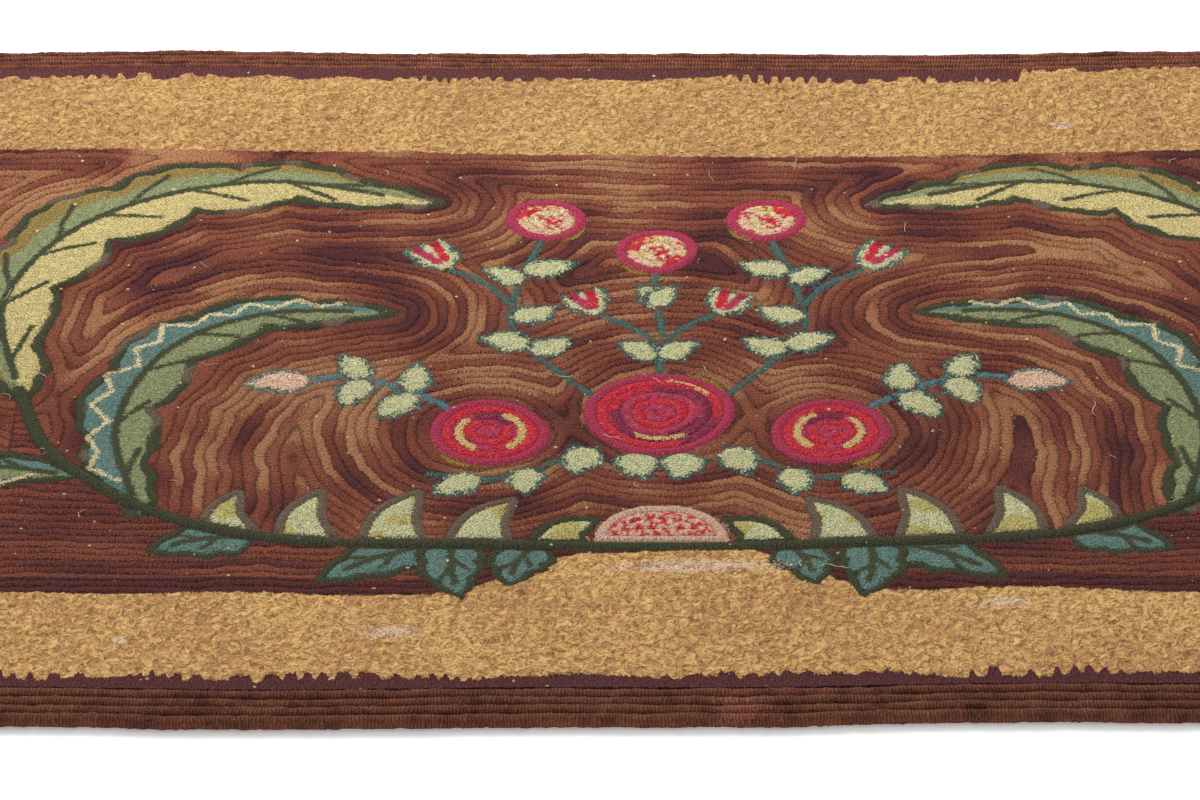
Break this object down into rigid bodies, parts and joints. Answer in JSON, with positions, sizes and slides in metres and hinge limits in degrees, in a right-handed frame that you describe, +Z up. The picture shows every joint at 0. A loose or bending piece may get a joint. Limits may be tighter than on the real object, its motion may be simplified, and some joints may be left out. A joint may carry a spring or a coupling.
{
  "type": "hooked rug",
  "caption": "Flat oblong hooked rug with a corded edge, loop pile bands along each side and a flower and leaf field, to lie on a floor.",
  "frame": {"origin": "on the surface the rug lies on, under the middle of the rug", "axes": "+X along the rug's long side, +Y across it towards the far side, +Z up out of the pile"},
  "size_m": [1.4856, 0.7165, 0.0102],
  "materials": {
    "hooked_wool": "matt wool yarn hooked in rows, with a looped pile on the pale bands"
  },
  "bodies": {
    "root": {"hooked_rug": "hooked_wool"}
  },
  "joints": []
}
